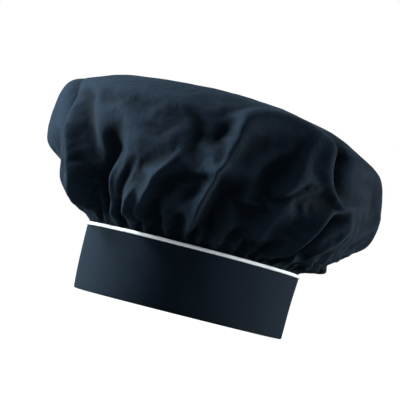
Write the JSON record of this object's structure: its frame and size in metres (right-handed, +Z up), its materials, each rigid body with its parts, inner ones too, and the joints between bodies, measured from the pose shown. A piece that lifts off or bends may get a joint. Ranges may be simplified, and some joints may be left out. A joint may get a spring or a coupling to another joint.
{
  "type": "gathered chef hat",
  "caption": "Floppy chef hat: an oval headband of folded cloth, a ring of piping in its seam, and a wide low crown gathered onto it.",
  "frame": {"origin": "centre of the head opening, in the plane of the band's rim that the hat stands on", "axes": "+Z up through the crown, -Y the wearer's forehead, +X the wearer's left"},
  "size_m": [0.2898, 0.2862, 0.1956],
  "materials": {
    "band_cloth": "black woven cloth, folded and stiffened",
    "piping_cloth": "white woven cloth over a cord",
    "crown_cloth": "black woven cloth with a slight sheen, soft and creased"
  },
  "bodies": {
    "root": {"band": "band_cloth", "piping": "piping_cloth", "crown": "crown_cloth"}
  },
  "joints": []
}
